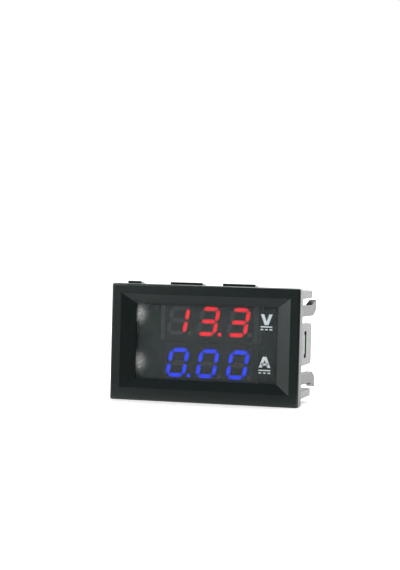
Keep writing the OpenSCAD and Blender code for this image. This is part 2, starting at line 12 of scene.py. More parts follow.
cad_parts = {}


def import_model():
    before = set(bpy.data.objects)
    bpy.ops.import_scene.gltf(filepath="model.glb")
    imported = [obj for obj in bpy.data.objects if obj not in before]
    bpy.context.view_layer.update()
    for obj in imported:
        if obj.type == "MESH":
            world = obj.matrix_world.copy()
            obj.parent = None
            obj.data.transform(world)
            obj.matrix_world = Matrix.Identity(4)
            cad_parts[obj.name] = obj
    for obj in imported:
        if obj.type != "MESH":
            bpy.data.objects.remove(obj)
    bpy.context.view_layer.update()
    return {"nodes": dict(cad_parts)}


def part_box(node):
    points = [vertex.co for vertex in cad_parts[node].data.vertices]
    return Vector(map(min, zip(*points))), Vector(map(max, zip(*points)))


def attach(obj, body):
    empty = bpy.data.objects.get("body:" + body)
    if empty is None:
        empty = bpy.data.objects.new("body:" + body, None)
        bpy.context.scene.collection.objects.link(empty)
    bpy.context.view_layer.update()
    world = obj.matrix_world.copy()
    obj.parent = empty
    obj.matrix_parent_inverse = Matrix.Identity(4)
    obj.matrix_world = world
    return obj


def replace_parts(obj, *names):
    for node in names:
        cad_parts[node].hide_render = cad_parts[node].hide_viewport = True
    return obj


MM = 0.001
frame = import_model()
nodes = frame["nodes"]
scene = bpy.context.scene
scene.view_settings.view_transform = "Standard"


# ---------------------------------------------------------------- places from the CAD
def low(node):
    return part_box(node)[0]


def high(node):
    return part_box(node)[1]


def centre(lo, hi):
    """The middle of a box, as a place on the board."""
    return (lo.x + hi.x) / 2, (lo.z + hi.z) / 2


def middle_of(node):
    return centre(low(node), high(node))


LENS_FRONT = low("window_lens").y
FACE = low("red_display_case").y
BOARD_BACK = high("main_board").y
FLOOR = low("housing").z

# How far a thing that lies on the board reaches into it
SUNK = 0.01 * MM

# Nodes that are dressed alike
SMALL_LEADS = (
    "microcontroller_leads",
    "amplifier_leads",
    "regulator_leads",
    "diode_leads",
    "capacitor_leads",
)
CHIP_PARTS = ("chip_resistors", "chip_capacitors")
TRIMMERS = ("volts_trimmer_body", "amps_trimmer_body")
HEADERS = ("supply_header", "measuring_header")


def solids(node):
    """The corners of each separate solid in a node."""
    b = bmesh.new()
    b.from_mesh(nodes[node].data)
    bmesh.ops.remove_doubles(b, verts=b.verts, dist=0.0005 * MM)
    left, found = set(b.verts), []
    while left:
        reach = [left.pop()]
        group = []
        while reach:
            vert = reach.pop()
            group.append(vert.co.copy())
            near = {edge.other_vert(vert) for edge in vert.link_edges} & left
            left -= near
            reach += near
        found.append(group)
    b.free()
    return found


def box_of(points):
    lows, highs = zip(*((min(axis), max(axis)) for axis in zip(*points)))
    return Vector(lows), Vector(highs)


def boxes(node):
    """The box of each separate solid in a node, in a fixed order."""
    pairs = (box_of(points) for points in solids(node))
    return sorted(pairs, key=lambda pair: tuple(round(v, 7) for v in pair[0]))


# ---------------------------------------------------------------- node helpers
class Nodes:
    """A material's node tree, with short calls for the nodes used here."""

    def __init__(self, name):
        self.material = bpy.data.materials.new(name)
        self.material.use_nodes = True
        self.tree = self.material.node_tree
        self.tree.nodes.clear()
        self.shader = self.add("ShaderNodeBsdfPrincipled")
        self.output = self.add("ShaderNodeOutputMaterial")
        self.link(self.shader.outputs[0], self.output.inputs[0])
        self.position = self.add("ShaderNodeTexCoord").outputs["Object"]

    def add(self, kind, **settings):
        node = self.tree.nodes.new(kind)
        for key, value in settings.items():
            setattr(node, key, value)
        return node

    def link(self, source, target):
        self.tree.links.new(source, target)

    def put(self, target, value):
        """Links value to target if it is a socket, and otherwise sets it."""
        if isinstance(value, bpy.types.NodeSocket):
            self.link(value, target)
        elif value is not None:
            target.default_value = value

    def set(self, **inputs):
        """Inputs of the Principled shader, by name with underscores."""
        for key, value in inputs.items():
            name = key.replace("_", " ").title().replace("Ior", "IOR")
            self.put(self.shader.inputs[name], value)

    def noise(self, size, detail=2.0, rough=0.5, stretch=None):
        """Noise whose features are about size metres across, from 0 to 1."""
        node = self.add("ShaderNodeTexNoise")
        node.inputs["Scale"].default_value = 1 / size
        node.inputs["Detail"].default_value = detail
        node.inputs["Roughness"].default_value = rough
        source = self.position
        if stretch:
            mapping = self.add("ShaderNodeMapping")
            mapping.inputs["Scale"].default_value = stretch
            self.link(source, mapping.inputs["Vector"])
            source = mapping.outputs[0]
        self.link(source, node.inputs["Vector"])
        return node.outputs[0]

    def cells(self, size):
        """Distance to the nearest of points that lie about size metres apart."""
        node = self.add("ShaderNodeTexVoronoi")
        node.inputs["Scale"].default_value = 1 / size
        self.link(self.position, node.inputs["Vector"])
        return node.outputs["Distance"]

    def ramp(self, value, from_low, from_high, to_low, to_high, smooth=False):
        node = self.add(
            "ShaderNodeMapRange",
            interpolation_type="SMOOTHSTEP" if smooth else "LINEAR",
        )
        for i, number in enumerate((value, from_low, from_high, to_low, to_high)):
            self.put(node.inputs[i], number)
        return node.outputs[0]

    def mix(self, share, a, b):
        node = self.add("ShaderNodeMix", data_type="RGBA")
        self.put(node.inputs[0], share)
        self.put(node.inputs[6], rgba(a))
        self.put(node.inputs[7], rgba(b))
        return node.outputs[2]

    def maths(self, operation, a, b=None):
        node = self.add("ShaderNodeMath", operation=operation)
        self.put(node.inputs[0], a)
        self.put(node.inputs[1], b)
        return node.outputs[0]

    def axes(self, vector=None):
        node = self.add("ShaderNodeSeparateXYZ")
        self.link(vector or self.position, node.inputs[0])
        return node.outputs

    def facing(self, axis):
        """How far the surface faces along an axis of the object, 0 to 1 both ways."""
        return self.maths("ABSOLUTE", self.axes(self.add("ShaderNodeTexCoord").outputs["Normal"])[axis])

    def spot(self, x, z, radius, edge=0.0):
        """1 inside a circle round [x, z] and 0 outside; edge is the share of the radius that fades."""
        here = self.axes()
        dx = self.maths("SUBTRACT", here[0], x)
        dz = self.maths("SUBTRACT", here[2], z)
        square = self.maths("ADD", self.maths("MULTIPLY", dx, dx), self.maths("MULTIPLY", dz, dz))
        far = self.maths("DIVIDE", self.maths("SQRT", square), radius)
        return self.ramp(far, 1 - edge, 1, 1, 0, smooth=True)

    def bump(self, height, depth, strength=1.0, normal=None):
        """Surface relief: height from 0 to 1 stands for depth metres."""
        node = self.add("ShaderNodeBump")
        node.inputs["Strength"].default_value = strength
        node.inputs["Distance"].default_value = depth
        self.put(node.inputs["Height"], height)
        if normal is not None:
            self.link(normal, node.inputs["Normal"])
        self.link(node.outputs[0], self.shader.inputs["Normal"])
        return node.outputs[0]


def rgba(colour):
    if isinstance(colour, bpy.types.NodeSocket) or len(colour) == 4:
        return colour
    return (*colour, 1.0)


def srgb(*levels):
    """A linear colour from levels of 0 to 255 as a screen shows them."""
    return tuple(
        v / 12.92 if v <= 0.04045 else ((v + 0.055) / 1.055) ** 2.4
        for v in (level / 255 for level in levels)
    )


# ---------------------------------------------------------------- materials
def housing_plastic():
    """Black moulded plastic with a fine grain: duller on the bezel, scuffed behind it, a little dusty."""
    n = Nodes("housing_plastic")
    grain = n.noise(0.2 * MM, detail=3, rough=0.6)
    cloud = n.noise(6 * MM, detail=3)
    dust = n.ramp(n.cells(1.7 * MM), 0.035, 0.06, 1, 0)
    dust = n.maths("MULTIPLY", dust, n.ramp(n.noise(3 * MM, detail=1), 0.5, 0.56, 0, 1))
    colour = n.mix(cloud, (0.0065, 0.0122, 0.0117), (0.0095, 0.0176, 0.0168))
    colour = n.mix(n.maths("MULTIPLY", dust, 0.6), colour, (0.16, 0.17, 0.16))
    behind = n.ramp(n.axes()[1], -0.2 * MM, 0.1 * MM, 0, 1)
    scuff = n.ramp(n.noise(0.5 * MM, detail=3, stretch=(0.12, 1, 1)), 0.66, 0.74, 0, 0.16)
    matt = n.ramp(grain, 0.3, 0.7, 0.26, 0.38)
    gloss = n.maths("ADD", n.ramp(grain, 0.3, 0.7, 0.2, 0.3), scuff)
    roughness = n.add("ShaderNodeMix")
    n.put(roughness.inputs[0], behind)
    n.put(roughness.inputs[2], matt)
    n.put(roughness.inputs[3], gloss)
    n.set(base_color=colour, roughness=roughness.outputs[0], ior=1.54)
    n.bump(grain, 0.008 * MM, 0.35, n.bump(cloud, 0.03 * MM, 0.2))
    return n.material


def smoked_lens():
    """Dark tinted acrylic, slightly uneven and a little dusty, with two speckled painted glints at the
    left: pale patches of reflected light put into the lens.
    """
    n = Nodes("smoked_lens")
    here = n.axes()
    x, z = here[0], here[2]
    painted_glint = None
    # Two painted glints: soft pale patches at the lens's left that stand in for reflected light
    for height in (6.7 * MM, -5.3 * MM):
        across = n.maths("DIVIDE", n.maths("SUBTRACT", x, -18.1 * MM), 4.0 * MM)
        along = n.maths("DIVIDE", n.maths("SUBTRACT", z, height), 4.2 * MM)
        square = n.maths("ADD", n.maths("MULTIPLY", across, across), n.maths("MULTIPLY", along, along))
        patch = n.ramp(n.maths("SQRT", square), 0.0, 1.0, 1.0, 0.0, smooth=True)
        painted_glint = patch if painted_glint is None else n.maths("MAXIMUM", painted_glint, patch)
    speckle = n.ramp(n.noise(0.4 * MM, detail=5, rough=0.75), 0.4, 0.66, 0.3, 1.0)
    speckled_glint = n.maths("MULTIPLY", n.maths("POWER", painted_glint, 1.4), speckle)
    dust = n.ramp(n.cells(1.4 * MM), 0.03, 0.05, 0.12, 0)
    glint_and_dust = n.maths("MAXIMUM", speckled_glint, dust)
    # The painted glints and the dust turn the lens pale and less clear
    n.set(
        base_color=n.mix(glint_and_dust, (0.072, 0.085, 0.086), (0.95, 0.96, 0.95)),
        alpha=n.ramp(glint_and_dust, 0, 1, 0.4, 0.95),
        roughness=n.ramp(speckled_glint, 0, 1, 0.07, 0.6),
        ior=1.49,
    )
    n.bump(n.noise(5 * MM, detail=1), 0.02 * MM, 0.25)
    return n.material


def display_case():
    """The displays' moulded cases: dark print on the face, paler grey plastic behind it."""
    n = Nodes("display_case")
    grain = n.noise(0.12 * MM, detail=3)
    cloud = n.noise(2.5 * MM, detail=3)
    face = n.mix(cloud, srgb(56, 50, 54), srgb(68, 60, 65))
    body = n.mix(cloud, srgb(104, 100, 104), srgb(120, 116, 119))
    behind = n.ramp(n.axes()[1], FACE + 0.03 * MM, FACE + 0.06 * MM, 0, 1)
    n.set(
        base_color=n.mix(behind, face, body),
        roughness=n.ramp(grain, 0.3, 0.7, 0.5, 0.66),
    )
    n.bump(grain, 0.006 * MM, 0.4)
    return n.material


def light(name, colour, core, low_glow, high_glow):
    """A lit segment: clouded resin, its lamp brightest in the middle by the mesh's own glow values."""
    n = Nodes(name)
    glow = n.add("ShaderNodeAttribute", attribute_name="glow").outputs["Fac"]
    cloud = n.ramp(n.noise(0.35 * MM, detail=2), 0.35, 0.65, -0.08, 0.08)
    level = n.maths("ADD", glow, cloud)
    n.set(
        base_color=n.mix(level, colour, core),
        roughness=n.ramp(cloud, -0.08, 0.08, 0.3, 0.42),
        emission_color=n.mix(n.ramp(level, 0.45, 1, 0, 1), colour, core),
        emission_strength=n.ramp(level, 0, 1, low_glow, high_glow),
    )
    return n.material


def board_mask():
    """Green solder mask with the glass weave just showing, and pale laminate on the cut edges."""
    n = Nodes("board")
    here = n.axes()
    x, z = here[0], here[2]
    weave = n.maths(
        "MULTIPLY",
        n.maths("SINE", n.maths("MULTIPLY", x, 2 * math.pi / (0.9 * MM))),
        n.maths("SINE", n.maths("MULTIPLY", z, 2 * math.pi / (0.9 * MM))),
    )
    cloud = n.noise(5 * MM, detail=4)
    mask = n.mix(n.ramp(cloud, 0.3, 0.7, 0, 1), srgb(13, 66, 34), srgb(20, 84, 45))
    mask = n.mix(n.ramp(weave, -1, 1, 0, 0.22), mask, srgb(30, 104, 60))
    fibres = n.noise(0.25 * MM, detail=3, stretch=(1, 6, 1))
    edge = n.mix(n.ramp(fibres, 0.35, 0.65, 0, 1), srgb(150, 190, 160), srgb(196, 216, 190))
    flat = n.ramp(n.facing(1), 0.4, 0.6, 0, 1)
    n.set(
        base_color=n.mix(flat, edge, mask),
        roughness=n.ramp(flat, 0, 1, 0.75, n.ramp(cloud, 0.3, 0.7, 0.22, 0.34)),
    )
    n.bump(n.ramp(weave, -1, 1, 0, 1), 0.008 * MM, 0.4)
    return n.material


def chip_resin(name, dimple=None):
    """Black moulding compound, with a polished dimple at pin 1 where the chip has one."""
    n = Nodes(name)
    fine = n.noise(0.07 * MM, detail=3)
    soft = n.noise(0.9 * MM, detail=3)
    rough = n.ramp(fine, 0.3, 0.7, 0.5, 0.68)
    normal = n.bump(fine, 0.006 * MM, 0.6)
    if dimple:
        x, z, radius = dimple
        well = n.spot(x, z, radius, 0.25)
        rough = n.ramp(well, 0, 1, rough, 0.25)
        normal = n.bump(n.ramp(well, 0, 1, 1, 0), 0.06 * MM, 1.0, normal)
    colour = n.mix(n.ramp(soft, 0.3, 0.7, 0, 1), srgb(24, 24, 26), srgb(38, 38, 41))
    n.set(base_color=colour, roughness=rough)
    return n.material


def plain(
    name, dark, pale, roughness, size=1.0, grain=0.15, depth=0.006, metallic=0.0, stretch=None, **more
):
    """A finish of two near colours in soft patches, with fine grain in its roughness and relief."""
    n = Nodes(name)
    fine = n.noise(grain * MM, detail=3, stretch=stretch)
    n.set(
        base_color=n.mix(n.ramp(n.noise(size * MM, detail=3), 0.3, 0.7, 0, 1), dark, pale),
        roughness=n.ramp(fine, 0.3, 0.7, *roughness),
        metallic=metallic,
        **more,
    )
    n.bump(fine, depth * MM, 0.6)
    return n.material


RED = (1.0, 0.008, 0.022)
BLUE = (0.012, 0.045, 1.0)
# Finishes of two near colours, by screen levels, then their range of roughness and what else they need
PLAIN = {
    "unlit_segment": ((108, 99, 105), (126, 116, 122), (0.4, 0.5), dict(size=0.8)),
    "tinned_metal": ((186, 186, 182), (214, 214, 208), (0.18, 0.38), dict(size=0.4, metallic=1.0)),
    "solder": (
        (176, 178, 180), (212, 213, 213), (0.12, 0.34),
        dict(size=0.5, grain=0.3, depth=0.02, metallic=1.0),
    ),
    # Darker, duller solder for the header joints, which keeps their reflections dim
    "dim_solder": (
        (74, 78, 74), (104, 108, 102), (0.45, 0.65),
        dict(size=0.6, depth=0.02, metallic=0.6),
    ),
    "capacitor_resin": ((206, 150, 46), (224, 170, 62), (0.35, 0.5), dict(grain=0.1)),
    "resistor_glaze": ((20, 20, 22), (33, 33, 36), (0.15, 0.3), dict(size=0.5)),
    "capacitor_ceramic": ((146, 114, 80), (170, 136, 100), (0.35, 0.5), dict(size=0.4)),
    "shunt_metal": ((170, 134, 98), (198, 164, 124), (0.22, 0.42), dict(size=1.2, metallic=1.0)),
    "white_plastic": (
        (224, 220, 204), (236, 233, 220), (0.28, 0.42),
        dict(size=2.5, subsurface_weight=0.08, subsurface_scale=0.4 * MM),
    ),
    "trimmer_plastic": ((26, 72, 152), (40, 90, 172), (0.28, 0.45), dict()),
    "rotor_metal": (
        (196, 172, 112), (214, 192, 132), (0.18, 0.4),
        dict(size=0.5, grain=0.2, metallic=1.0, stretch=(1, 1, 8)),
    ),
    "legend_ink": ((196, 210, 214), (212, 222, 225), (0.4, 0.55), dict()),
    "board_ink": ((214, 218, 210), (232, 234, 228), (0.5, 0.65), dict(size=0.4, depth=0.01)),
    "board_copper": ((26, 98, 54), (36, 116, 66), (0.2, 0.32), dict(size=2, depth=0.004)),
    "band_ink": ((120, 62, 28), (138, 74, 34), (0.4, 0.55), dict(size=0.4)),
    "band_grey": ((176, 178, 176), (196, 198, 195), (0.45, 0.6), dict(size=0.4)),
    "glass_white": ((222, 220, 212), (236, 234, 228), (0.3, 0.45), dict(size=0.4)),
}
MATERIALS = {
    "housing_plastic": housing_plastic(),
    "smoked_lens": smoked_lens(),
    "display_case": display_case(),
    "red_light": light("red_light", RED, (1.0, 0.016, 0.03), 0.9, 2.3),
    "blue_light": light("blue_light", BLUE, (0.016, 0.05, 1.0), 1.0, 2.3),
    "board": board_mask(),
    "chip_resin": chip_resin("chip_resin"),
}
for name, (dark, pale, roughness, more) in PLAIN.items():
    MATERIALS[name] = plain(name, srgb(*dark), srgb(*pale), roughness, **more)
for name, node in nodes.items():
    for slot in node.material_slots:
        slot.material = MATERIALS[slot.material.name.split(".")[0]]

for chip in ("microcontroller_body", "amplifier_body"):
    corner, inset, radius = high(chip), 0.9 * MM, 0.36 * MM
    dimple = (corner.x - inset, corner.z - inset, radius)
    nodes[chip].material_slots[0].material = chip_resin(chip + "_resin", dimple)


def piece(name, mesh_data, finish, body="meter"):
    """A new object of the part, from a bmesh, with its finish and its body."""
    mesh = bpy.data.meshes.new(name)
    bmesh.ops.recalc_face_normals(mesh_data, faces=mesh_data.faces)
    mesh_data.to_mesh(mesh)
    mesh_data.free()
    obj = bpy.data.objects.new(name, mesh)
    scene.collection.objects.link(obj)
    mesh.materials.append(MATERIALS[finish])
    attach(obj, body)
    return obj


def prism(b, outline, y0, y1):
    """Adds a flat shape, given as [x, z] points, made solid from y0 to y1."""
    front = [b.verts.new((x, y0, z)) for x, z in outline]
    back = [b.verts.new((x, y1, z)) for x, z in outline]
    b.faces.new(front)
    b.faces.new(back[::-1])
    for i in range(len(outline)):
        j = (i + 1) % len(outline)
        b.faces.new((front[j], front[i], back[i], back[j]))


def rectangle(x0, x1, z0, z1):
    return [(x0, z0), (x1, z0), (x1, z1), (x0, z1)]


def around(x, z, radius, count=24):
    return [
        (x + radius * math.cos(2 * math.pi * i / count), z + radius * math.sin(2 * math.pi * i / count))
        for i in range(count)
    ]


def hull(b, points):
    """Adds the convex hull of some points."""
    verts = [b.verts.new(point) for point in points]
    bmesh.ops.convex_hull(b, input=verts)


def slab(b, lo, hi):
    """Adds a box between two corners."""
    hull(b, [(x, y, z) for x in (lo[0], hi[0]) for y in (lo[1], hi[1]) for z in (lo[2], hi[2])])


def ring(b, x, z, inner, outer, y0, y1, count=24):
    """Adds a flat ring with a hole through it."""
    loops = [
        [b.verts.new((u, y, v)) for u, v in around(x, z, radius, count)]
        for radius, y in ((inner, y0), (outer, y0), (outer, y1), (inner, y1))
    ]
    for k in range(4):
        near, far = loops[k], loops[(k + 1) % 4]
        for i in range(count):
            j = (i + 1) % count
            b.faces.new((near[i], near[j], far[j], far[i]))


def lathe(b, x, z, profile):
    """Adds a turned shape about Y: profile is a list of (y, radius), and both ends are closed."""
    sides = 20
    loops = [[b.verts.new((u, y, v)) for u, v in around(x, z, radius, sides)] for y, radius in profile]
    for near, far in zip(loops, loops[1:]):
        for i in range(sides):
            j = (i + 1) % sides
            b.faces.new((near[i], near[j], far[j], far[i]))
    b.faces.new(loops[0])
    b.faces.new(loops[-1][::-1])


def smooth(obj, angle=40):
    """Smooth shading, kept sharp across edges steeper than the angle."""
    for polygon in obj.data.polygons:
        polygon.use_smooth = True
    obj.data.set_sharp_from_angle(angle=math.radians(angle))


def rounded(obj, width, segments=2):
    """Rounds a piece's edges."""
    bevel = obj.modifiers.new("bevel", "BEVEL")
    bevel.width = width
    bevel.segments = segments
    bevel.limit_method = "ANGLE"
    bevel.angle_limit = math.radians(35)
    bevel.harden_normals = True
    return obj


# ---------------------------------------------------------------- lit segments
def lit(node, name, finish):
    """Stands for a node of lit segments: the same outlines, with rings that carry the lamp's glow."""
    b = bmesh.new()
    glow = b.verts.layers.float.new("glow")
    for points in solids(node):
        lo, hi = box_of(points)
        middle = (lo + hi) / 2
        rim = {(round(p.x, 7), round(p.z, 7)) for p in points if p.y < middle.y}
        rim = sorted(rim, key=lambda p: math.atan2(p[1] - middle.z, p[0] - middle.x))
        rows = []
        for y, share, value in (
            (hi.y, 1, 0),
            (lo.y, 1, 0),
            (lo.y, 0.8, 0.35),
            (lo.y, 0.5, 0.8),
            (lo.y, 0.2, 1),
        ):
            row = []
            for u, v in rim:
                place = (middle.x + (u - middle.x) * share, y, middle.z + (v - middle.z) * share)
                vert = b.verts.new(place)
                vert[glow] = value
                row.append(vert)
            rows.append(row)
        for near, far in zip(rows, rows[1:]):
            for i in range(len(rim)):
                j = (i + 1) % len(rim)
                b.faces.new((near[i], near[j], far[j], far[i]))
        b.faces.new(rows[0])
        b.faces.new(rows[-1])
    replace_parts(piece(name, b, finish), node)


lit("red_segments_lit", "red_segments_glowing", "red_light")
lit("blue_segments_lit", "blue_segments_glowing", "blue_light")


# ---------------------------------------------------------------- solder
def fillet(b, lo, hi, outwards):
    """A joint on a round pad: hollow sides that climb from the pad towards the pin."""
    x, h = centre(lo, hi)
    radius = (hi.x - lo.x) / 2
    foot, tip = (lo.y, hi.y) if outwards else (hi.y, lo.y)
    rise = tip - foot
    pad = math.copysign(0.04 * MM, rise)
    land = radius * 1.16
    profile = [(foot, land), (foot + pad, land), (foot + pad, radius)]
    top = radius * 0.36
    for k in range(1, 9):
        t = k / 8
        profile.append((foot + pad + (rise - pad) * t, top + (radius - top) * (1 - t) ** 2.4))
    lathe(b, x, h, profile)


def joints(node, name, outwards, finish="solder"):
    """Stands for a node of plain solder cones: a hollow-sided joint in the place of each."""
    b = bmesh.new()
    for lo, hi in boxes(node):
        fillet(b, lo, hi, outwards)
    obj = piece(name, b, finish)
    smooth(obj, 50)
    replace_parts(obj, node)


joints("display_solder", "display_joints", True)
# The header joints get the darker, duller solder, which keeps their reflections dim
joints("header_solder", "header_joints", False, finish="dim_solder")
joints("shunt_solder", "shunt_joints", True)


def lead_joints():
    """Tinned lands under the surface-mounted parts, with ramps of solder at chip ends and trimmer pins."""
    b = bmesh.new()
    y0, y1 = BOARD_BACK - SUNK, BOARD_BACK + 0.035 * MM
    toe = 0.35 * MM
    for node in SMALL_LEADS:
        for lo, hi in boxes(node):
            wide, tall = hi.x - lo.x, hi.z - lo.z
            side = (0.05 if node == "microcontroller_leads" else 0.15) * MM
            u, v = (toe, side) if wide > tall else (side, toe)
            slab(b, (lo.x - u, y0, lo.z - v), (hi.x + u, y1, hi.z + v))

    # A chip part's land reaches inward under its end and outward past it, and foot and belly shape the ramp
    inward, outward, side, foot, belly = (v * MM for v in (0.35, 0.45, 0.08, 0.38, 0.12))
    for node in CHIP_PARTS:
        for lo, hi in boxes(node):
            long_x = hi.x - lo.x > hi.z - lo.z
            top = BOARD_BACK + (hi.y - BOARD_BACK) * 0.6
            sag = y1 + (top - y1) * 0.35
            for s in (-1, 1):
                if long_x:
                    end = hi.x if s > 0 else lo.x
                    slab(b, (end - s * inward, y0, lo.z - side), (end + s * outward, y1, hi.z + side))
                    hull(b, [(end, y, h) for y in (y0, top) for h in (lo.z, hi.z)]
                         + [(end + s * foot, y0, h) for h in (lo.z, hi.z)]
                         + [(end + s * belly, sag, h) for h in (lo.z, hi.z)])
                else:
                    end = hi.z if s > 0 else lo.z
                    slab(b, (lo.x - side, y0, end - s * inward), (hi.x + side, y1, end + s * outward))
                    hull(b, [(u, y, end) for y in (y0, top) for u in (lo.x, hi.x)]
                         + [(u, y0, end + s * foot) for u in (lo.x, hi.x)]
                         + [(u, sag, end + s * belly) for u in (lo.x, hi.x)])

    # A trimmer has two pins at its lower side and one at its upper
    inset, land, half, climb = (v * MM for v in (0.6, 0.55, 0.4, 0.6))
    for node in TRIMMERS:
        lo, hi = low(node), high(node)
        middle = centre(lo, hi)
        for u, h in ((lo.x + inset, lo.z), (hi.x - inset, lo.z), (middle[0], hi.z)):
            out = -1 if h < middle[1] else 1
            slab(b, (u - land, y0, h), (u + land, y1, h + out * 0.75 * MM))
            hull(b, [(u + w * half, y, h) for w in (-1, 1) for y in (y0, BOARD_BACK + climb)]
                 + [(u + w * half, y0, h + out * land) for w in (-1, 1)])
    rounded(piece("lead_joints", b, "solder"), 0.02 * MM, 2)


lead_joints()


# ---------------------------------------------------------------- marks and caps on the small parts
def end_caps(node, name, length, proud):
    """Tinned terminations that wrap the two ends of each chip part."""
    b = bmesh.new()
    for lo, hi in boxes(node):
        long_x = hi.x - lo.x > hi.z - lo.z
        axis = 0 if long_x else 2
        for s in (-1, 1):
            p, q = lo.copy(), hi.copy()
            p -= Vector((proud, 0, proud))
            q += Vector((proud, proud, proud))
            if s < 0:
                q[axis] = lo[axis] + length
            else:
                p[axis] = hi[axis] - length
            slab(b, p, q)
    rounded(piece(name, b, "tinned_metal"), 0.04 * MM, 3)


end_caps("chip_resistors", "resistor_ends", 0.3 * MM, 0.02 * MM)
end_caps("chip_capacitors", "ceramic_ends", 0.32 * MM, 0.03 * MM)


def resistor_edges():
    """The white ceramic that shows beside each resistor's black glaze."""
    proud, inset = 0.012 * MM, 0.1 * MM
    b = bmesh.new()
    for lo, hi in boxes("chip_resistors"):
        corner = (lo.x - proud, lo.y, lo.z + inset)
        slab(b, corner, (hi.x + proud, hi.y - 0.12 * MM, hi.z - inset))
    piece("resistor_edges", b, "glass_white")


resistor_edges()


def bands():
    """Polarity bands: brown across the capacitors' positive ends, grey across the diode's cathode."""
    sunk, proud, inset, end = 0.05 * MM, 0.008 * MM, 0.26 * MM, 0.95 * MM
    diode = [(low("diode_body"), high("diode_body"))]
    for name, bodies, start, finish in (
        ("capacitor_bands", boxes("capacitor_bodies"), 0.4 * MM, "band_ink"),
        ("diode_band", diode, 0.45 * MM, "band_grey"),
    ):
        b = bmesh.new()
        for lo, hi in bodies:
            slab(b, (lo.x + start, hi.y - sunk, lo.z + inset), (lo.x + end, hi.y + proud, hi.z - inset))
        piece(name, b, finish)


bands()


# ---------------------------------------------------------------- copper and print on the board
# Where the two layers start and end along Y
COPPER = (BOARD_BACK - SUNK, BOARD_BACK + 0.022 * MM)
PRINT = (BOARD_BACK - SUNK, BOARD_BACK + 0.016 * MM)

# Widths of the tracks, and the radius of a via's hole
FINE = 0.22 * MM
THIN = 0.3 * MM
BOLD = 0.9 * MM
BORE = 0.16 * MM


def ribbon(b, points, width, layer, closed=False):
    """Adds a flat track of one width along [x, z] points, with rounded corners.

    Each part of it stands a hair higher than the one before, so that their upper faces don't coincide.
    """
    points = [Vector(point) for point in points]
    if closed:
        points.append(points[0])
    bottom, top = layer
    lift = 0.0015 * MM
    for p, q in zip(points, points[1:]):
        if (q - p).length < 0.01 * MM:
            continue
        side = (q - p).orthogonal().normalized() * width / 2
        top += lift
        prism(b, [tuple(p + side), tuple(q + side), tuple(q - side), tuple(p - side)], bottom, top)
    ends = points[:-1] if closed else points
    for p in ends:
        top += lift
        prism(b, around(p.x, p.y, width / 2, 12), bottom, top)


def step(p, q):
    """Points from p to q, along an axis first and then at 45 degrees."""
    dx, dz = q[0] - p[0], q[1] - p[1]
    run = min(abs(dx), abs(dz))
    if abs(dx) > abs(dz):
        return [p, (q[0] - math.copysign(run, dx), p[1]), q]
    return [p, (p[0], q[1] - math.copysign(run, dz)), q]


def display_rows():
    """The displays' pins in four rows of six, from the lowest row up."""
    pins = {centre(lo, hi) for lo, hi in boxes("display_solder")}
    pins = sorted(pins, key=lambda p: (round(p[1], 5), p[0]))
    return [pins[i * 6:(i + 1) * 6] for i in range(4)]


def resistor_tracks(rows, routes):
    """From every resistor to the nearest pin of the row beside it, and between the two inner rows."""
    split = rows[2][0][1] + 4 * MM
    for lo, hi in boxes("chip_resistors"):
        x = centre(lo, hi)[0]
        row, h = (rows[3], hi.z) if lo.z > split else (rows[2], lo.z)
        near = min(row, key=lambda p: abs(p[0] - x))
        routes.append((step((x, h), near), THIN))
    for p, q in zip(rows[1], rows[2]):
        routes.append(([p, q], THIN))


def chip_tracks(routes, vias):
    """Short tracks out from the leads of the microcontroller and the amplifier, most of them to vias."""
    middle, leads = middle_of("microcontroller_body")[0], boxes("microcontroller_leads")
    stagger = (0.7 * MM, 1.2 * MM)
    for k, (lo, hi) in enumerate([box for box in leads if box[0].x > middle]):
        h = centre(lo, hi)[1]
        via = (hi.x + stagger[k % 2], h)
        routes.append(([(hi.x, h), via], FINE))
        vias.append(via)
    for k, (lo, hi) in enumerate([box for box in leads if box[0].x < middle][2:8]):
        h = centre(lo, hi)[1]
        routes.append(([(lo.x, h), (lo.x - 0.55 * MM, h)], FINE))
        if k % 2:
            vias.append((lo.x - 0.6 * MM, h))
    middle, reach = middle_of("amplifier_body")[1], 0.9 * MM
    for lo, hi in boxes("amplifier_leads"):
        x, h = centre(lo, hi)
        via = (x, hi.z + reach if lo.z > middle else lo.z - reach)
        routes.append(([(x, h), via], THIN))
        vias.append(via)


def pin_tracks(rows, routes, vias):
    """From the displays' two outer rows of pins to vias above and below them."""
    across, stagger = 0.6 * MM, (1.25 * MM, 1.5 * MM)
    for row, out in ((rows[0], -1), (rows[3], 1)):
        for k, (x, h) in enumerate(row):
            via = (x + across, h + out * stagger[k % 2])
            routes.append((step((x, h), via), THIN))
            vias.append(via)


def supply_tracks(routes):
    """Broad tracks from the supply header's pins to the regulator."""
    x, h = middle_of("supply_header")
    gx, gz = middle_of("regulator_body")
    pin, above = 1 * MM, h + 3 * MM
    routes.append(([
        (x - pin, h),
        (x - pin, above),
        (gx - 3.6 * MM, above),
        (gx - 2.3 * MM, h + 1.6 * MM),
        (gx - 1.9 * MM, h + 0.7 * MM),
    ], BOLD))
    routes.append(([
        (x + pin, h),
        (x + pin, h - 3.3 * MM),
        (gx - 2.4 * MM, gz + 0.3 * MM),
        (gx - 1.5 * MM, gz - 1.9 * MM),
    ], BOLD))


def shunt_tracks(routes):
    """From the measuring header to the shunt wire, down beside the wire, and out from its foot."""
    x, h = middle_of("measuring_header")
    wire, foot, head = middle_of("shunt_wire")[0], low("shunt_wire").z, high("shunt_wire").z
    pin, side, level = 1.27 * MM, wire - 2.9 * MM, foot + 0.4 * MM
    to_head = [(x + pin, h), (x + pin, head), (wire, head - 1 * MM)]
    beside = [(x - pin, h), (x - pin, h - 3.4 * MM), (side, head - 1.4 * MM), (side, 0.2 * MM)]
    from_foot = [(wire, foot + 0.8 * MM), (wire - 2.2 * MM, level), (wire - 4.6 * MM, level)]
    routes += [(to_head, 2.6 * MM), (beside, BOLD), (from_foot, 1.6 * MM)]


